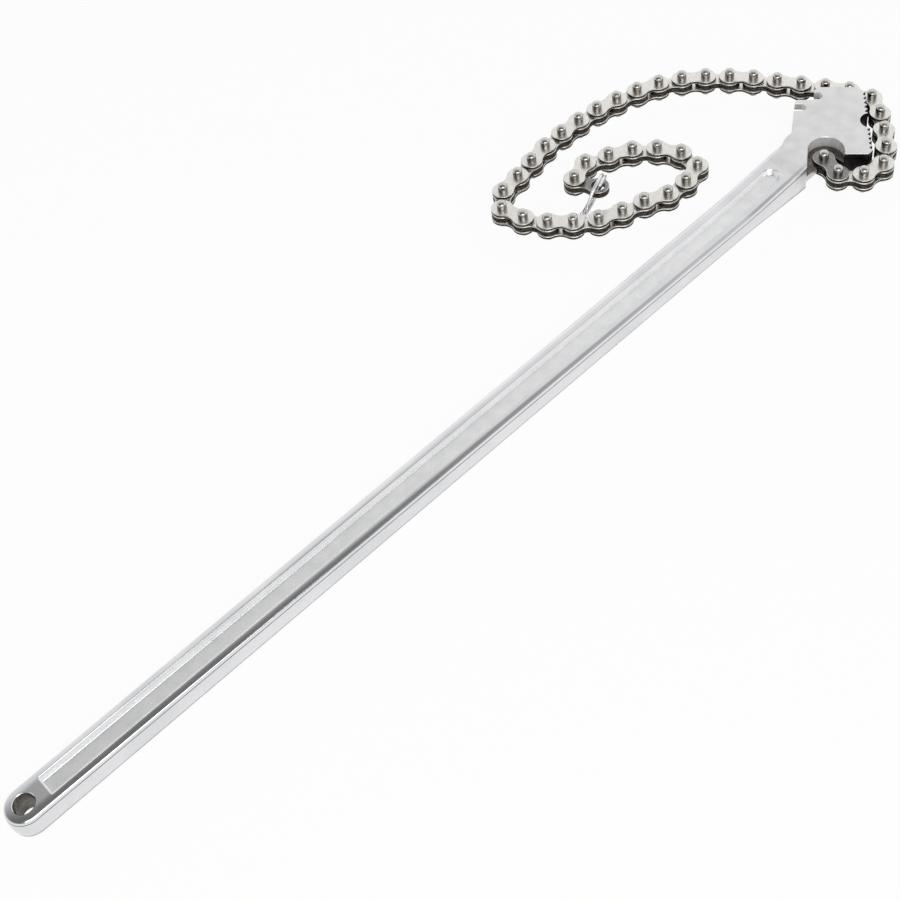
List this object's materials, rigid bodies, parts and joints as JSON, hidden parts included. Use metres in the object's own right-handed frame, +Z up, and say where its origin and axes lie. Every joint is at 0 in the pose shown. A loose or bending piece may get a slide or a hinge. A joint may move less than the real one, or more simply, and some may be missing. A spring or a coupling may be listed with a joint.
{
  "type": "chain pipe wrench",
  "caption": "Long plated handle with a toothed jaw at its head and a leaf chain that wraps round a pipe and hooks back on the head, with a ring on its loose end.",
  "frame": {"origin": "a point on the flat underside of the head, on the handle's centre line", "axes": "+X along the handle from the hang hole to the jaw, +Y in the plane of the head towards the hook seats, +Z up from the underside to the upper face"},
  "size_m": [0.8054, 0.2268, 0.0362],
  "materials": {
    "plated_forging": "satin nickel chrome plate over forged steel",
    "outer_links": "nickel plated, satin",
    "inner_links": "nickel plated, satin",
    "anchor_pin": "ground",
    "tongue": "bare steel",
    "ring_wire": "bright"
  },
  "bodies": {
    "handle": {"handle": "plated_forging"},
    "chain_link_01": {"chain_link_01": "outer_links", "anchor_pin": "anchor_pin"},
    "chain_link_02": {"chain_link_02": "inner_links"},
    "chain_link_03": {"chain_link_03": "outer_links"},
    "chain_link_04": {"chain_link_04": "inner_links"},
    "chain_link_05": {"chain_link_05": "outer_links"},
    "chain_link_06": {"chain_link_06": "inner_links"},
    "chain_link_07": {"chain_link_07": "outer_links"},
    "chain_link_08": {"chain_link_08": "inner_links"},
    "chain_link_09": {"chain_link_09": "outer_links"},
    "chain_link_10": {"chain_link_10": "inner_links"},
    "chain_link_11": {"chain_link_11": "outer_links"},
    "chain_link_12": {"chain_link_12": "inner_links"},
    "chain_link_13": {"chain_link_13": "outer_links"},
    "chain_link_14": {"chain_link_14": "inner_links"},
    "chain_link_15": {"chain_link_15": "outer_links"},
    "chain_link_16": {"chain_link_16": "inner_links"},
    "chain_link_17": {"chain_link_17": "outer_links"},
    "chain_link_18": {"chain_link_18": "inner_links"},
    "chain_link_19": {"chain_link_19": "outer_links"},
    "chain_link_20": {"chain_link_20": "inner_links"},
    "chain_link_21": {"chain_link_21": "outer_links"},
    "chain_link_22": {"chain_link_22": "inner_links"},
    "chain_link_23": {"chain_link_23": "outer_links"},
    "chain_link_24": {"chain_link_24": "inner_links"},
    "chain_link_25": {"chain_link_25": "outer_links"},
    "chain_link_26": {"chain_link_26": "inner_links"},
    "chain_link_27": {"chain_link_27": "outer_links"},
    "chain_link_28": {"chain_link_28": "inner_links"},
    "chain_link_29": {"chain_link_29": "outer_links"},
    "chain_link_30": {"chain_link_30": "inner_links"},
    "chain_link_31": {"chain_link_31": "outer_links"},
    "chain_link_32": {"chain_link_32": "inner_links"},
    "chain_link_33": {"chain_link_33": "outer_links"},
    "chain_link_34": {"chain_link_34": "inner_links"},
    "chain_link_35": {"chain_link_35": "outer_links"},
    "chain_link_36": {"chain_link_36": "inner_links"},
    "chain_link_37": {"chain_link_37": "outer_links"},
    "chain_link_38": {"chain_link_38": "inner_links"},
    "chain_link_39": {"chain_link_39": "outer_links"},
    "chain_link_40": {"chain_link_40": "inner_links"},
    "chain_link_41": {"chain_link_41": "outer_links"},
    "end_tongue": {"end_tongue": "tongue"},
    "split_ring": {"split_ring": "ring_wire"}
  },
  "joints": [
    {"name": "chain_link_01_swing", "type": "hinge", "parent": "handle", "child": "chain_link_01", "pos_m": [-0.01448, -0.01448, 0.012], "axis": [0, 0, 1], "range_deg": [-1.5, 1]},
    {"name": "chain_link_02_swing", "type": "hinge", "parent": "chain_link_01", "child": "chain_link_02", "pos_m": [-0.02068, -0.03249, 0.012], "axis": [0, 0, -1], "range_deg": [0, 60]},
    {"name": "chain_link_03_swing", "type": "hinge", "parent": "chain_link_02", "child": "chain_link_03", "pos_m": [-0.00921, -0.0477, 0.012], "axis": [0, 0, 1], "range_deg": [-60, 0]},
    {"name": "chain_link_04_swing", "type": "hinge", "parent": "chain_link_03", "child": "chain_link_04", "pos_m": [0.00942, -0.05167, 0.012], "axis": [0, 0, -1], "range_deg": [0, 60]},
    {"name": "chain_link_05_swing", "type": "hinge", "parent": "chain_link_04", "child": "chain_link_05", "pos_m": [0.02592, -0.04214, 0.012], "axis": [0, 0, 1], "range_deg": [-60, 0]},
    {"name": "chain_link_06_swing", "type": "hinge", "parent": "chain_link_05", "child": "chain_link_06", "pos_m": [0.04029, -0.02964, 0.012], "axis": [0, 0, -1], "range_deg": [0, 60]},
    {"name": "chain_link_07_swing", "type": "hinge", "parent": "chain_link_06", "child": "chain_link_07", "pos_m": [0.05376, -0.01617, 0.012], "axis": [0, 0, 1], "range_deg": [-60, 0]},
    {"name": "chain_link_08_swing", "type": "hinge", "parent": "chain_link_07", "child": "chain_link_08", "pos_m": [0.06442, -0.00038, 0.012], "axis": [0, 0, -1], "range_deg": [-2, 60]},
    {"name": "chain_link_09_swing", "type": "hinge", "parent": "chain_link_08", "child": "chain_link_09", "pos_m": [0.06046, 0.01826, 0.012], "axis": [0, 0, 1], "range_deg": [-60, 8]},
    {"name": "chain_link_10_swing", "type": "hinge", "parent": "chain_link_09", "child": "chain_link_10", "pos_m": [0.05151, 0.03508, 0.012], "axis": [0, 0, -1], "range_deg": [-8, 42]},
    {"name": "chain_link_11_swing", "type": "hinge", "parent": "chain_link_10", "child": "chain_link_11", "pos_m": [0.04228, 0.05174, 0.012], "axis": [0, 0, 1], "range_deg": [-42, 8]},
    {"name": "chain_link_12_swing", "type": "hinge", "parent": "chain_link_11", "child": "chain_link_12", "pos_m": [0.03333, 0.06856, 0.012], "axis": [0, 0, -1], "range_deg": [-8, 42]},
    {"name": "chain_link_13_swing", "type": "hinge", "parent": "chain_link_12", "child": "chain_link_13", "pos_m": [0.0241, 0.08522, 0.012], "axis": [0, 0, 1], "range_deg": [-42, 10]},
    {"name": "chain_link_14_swing", "type": "hinge", "parent": "chain_link_13", "child": "chain_link_14", "pos_m": [0.01345, 0.10101, 0.012], "axis": [0, 0, -1], "range_deg": [-10, 42]},
    {"name": "chain_link_15_swing", "type": "hinge", "parent": "chain_link_14", "child": "chain_link_15", "pos_m": [0.0012, 0.1156, 0.012], "axis": [0, 0, 1], "range_deg": [-42, 12]},
    {"name": "chain_link_16_swing", "type": "hinge", "parent": "chain_link_15", "child": "chain_link_16", "pos_m": [-0.01273, 0.1286, 0.012], "axis": [0, 0, -1], "range_deg": [-14, 42]},
    {"name": "chain_link_17_swing", "type": "hinge", "parent": "chain_link_16", "child": "chain_link_17", "pos_m": [-0.02853, 0.13925, 0.012], "axis": [0, 0, 1], "range_deg": [-42, 20]},
    {"name": "chain_link_18_swing", "type": "hinge", "parent": "chain_link_17", "child": "chain_link_18", "pos_m": [-0.04606, 0.14669, 0.012], "axis": [0, 0, -1], "range_deg": [-24, 42]},
    {"name": "chain_link_19_swing", "type": "hinge", "parent": "chain_link_18", "child": "chain_link_19", "pos_m": [-0.06437, 0.15194, 0.012], "axis": [0, 0, 1], "range_deg": [-42, 34]},
    {"name": "chain_link_20_swing", "type": "hinge", "parent": "chain_link_19", "child": "chain_link_20", "pos_m": [-0.08301, 0.1559, 0.012], "axis": [0, 0, -1], "range_deg": [-45, 42]},
    {"name": "chain_link_21_swing", "type": "hinge", "parent": "chain_link_20", "child": "chain_link_21", "pos_m": [-0.10195, 0.1579, 0.012], "axis": [0, 0, 1], "range_deg": [-42, 45]},
    {"name": "chain_link_22_swing", "type": "hinge", "parent": "chain_link_21", "child": "chain_link_22", "pos_m": [-0.121, 0.15823, 0.012], "axis": [0, 0, -1], "range_deg": [-40, 42]},
    {"name": "chain_link_23_swing", "type": "hinge", "parent": "chain_link_22", "child": "chain_link_23", "pos_m": [-0.14004, 0.15756, 0.012], "axis": [0, 0, 1], "range_deg": [-42, 34]},
    {"name": "chain_link_24_swing", "type": "hinge", "parent": "chain_link_23", "child": "chain_link_24", "pos_m": [-0.15874, 0.15393, 0.012], "axis": [0, 0, -1], "range_deg": [-28, 42]},
    {"name": "chain_link_25_swing", "type": "hinge", "parent": "chain_link_24", "child": "chain_link_25", "pos_m": [-0.17744, 0.15029, 0.012], "axis": [0, 0, 1], "range_deg": [-20, 24]},
    {"name": "chain_link_26_swing", "type": "hinge", "parent": "chain_link_25", "child": "chain_link_26", "pos_m": [-0.19625, 0.14731, 0.012], "axis": [0, 0, -1], "range_deg": [-18, 16]},
    {"name": "chain_link_27_swing", "type": "hinge", "parent": "chain_link_26", "child": "chain_link_27", "pos_m": [-0.21019, 0.13432, 0.012], "axis": [0, 0, 1], "range_deg": [-12, 14]},
    {"name": "chain_link_28_swing", "type": "hinge", "parent": "chain_link_27", "child": "chain_link_28", "pos_m": [-0.20688, 0.11556, 0.012], "axis": [0, 0, -1], "range_deg": [-14, 14]},
    {"name": "chain_link_29_swing", "type": "hinge", "parent": "chain_link_28", "child": "chain_link_29", "pos_m": [-0.19823, 0.09859, 0.012], "axis": [0, 0, 1], "range_deg": [-14, 18]},
    {"name": "chain_link_30_swing", "type": "hinge", "parent": "chain_link_29", "child": "chain_link_30", "pos_m": [-0.18598, 0.08399, 0.012], "axis": [0, 0, -1], "range_deg": [-22, 16]},
    {"name": "chain_link_31_swing", "type": "hinge", "parent": "chain_link_30", "child": "chain_link_31", "pos_m": [-0.17139, 0.07175, 0.012], "axis": [0, 0, 1], "range_deg": [-18, 6]},
    {"name": "chain_link_32_swing", "type": "hinge", "parent": "chain_link_31", "child": "chain_link_32", "pos_m": [-0.15399, 0.064, 0.012], "axis": [0, 0, -1], "range_deg": [-2, 24]},
    {"name": "chain_link_33_swing", "type": "hinge", "parent": "chain_link_32", "child": "chain_link_33", "pos_m": [-0.13577, 0.05843, 0.012], "axis": [0, 0, 1], "range_deg": [-32, 0]},
    {"name": "chain_link_34_swing", "type": "hinge", "parent": "chain_link_33", "child": "chain_link_34", "pos_m": [-0.11865, 0.05008, 0.012], "axis": [0, 0, -1], "range_deg": [0, 40]},
    {"name": "chain_link_35_swing", "type": "hinge", "parent": "chain_link_34", "child": "chain_link_35", "pos_m": [-0.09964, 0.04875, 0.012], "axis": [0, 0, 1], "range_deg": [-50, 0]},
    {"name": "chain_link_36_swing", "type": "hinge", "parent": "chain_link_35", "child": "chain_link_36", "pos_m": [-0.08116, 0.05336, 0.012], "axis": [0, 0, -1], "range_deg": [0, 30]},
    {"name": "chain_link_37_swing", "type": "hinge", "parent": "chain_link_36", "child": "chain_link_37", "pos_m": [-0.07851, 0.07222, 0.012], "axis": [0, 0, 1], "range_deg": [-24, 0]},
    {"name": "chain_link_38_swing", "type": "hinge", "parent": "chain_link_37", "child": "chain_link_38", "pos_m": [-0.08656, 0.08949, 0.012], "axis": [0, 0, -1], "range_deg": [0, 26]},
    {"name": "chain_link_39_swing", "type": "hinge", "parent": "chain_link_38", "child": "chain_link_39", "pos_m": [-0.09979, 0.10319, 0.012], "axis": [0, 0, 1], "range_deg": [-30, 0]},
    {"name": "chain_link_40_swing", "type": "hinge", "parent": "chain_link_39", "child": "chain_link_40", "pos_m": [-0.11629, 0.11272, 0.012], "axis": [0, 0, -1], "range_deg": [0, 46]},
    {"name": "chain_link_41_swing", "type": "hinge", "parent": "chain_link_40", "child": "chain_link_41", "pos_m": [-0.13356, 0.12077, 0.012], "axis": [0, 0, 1], "range_deg": [-6, 0]},
    {"name": "end_tongue_swing", "type": "hinge", "parent": "chain_link_41", "child": "end_tongue", "pos_m": [-0.15177, 0.1152, 0.012], "axis": [0, 0, -1], "range_deg": [-4, 2]},
    {"name": "split_ring_swing", "type": "hinge", "parent": "end_tongue", "child": "split_ring", "pos_m": [-0.14433, 0.09766, 0.012], "axis": [0, 0, 1], "range_deg": [-50, 0]}
  ]
}
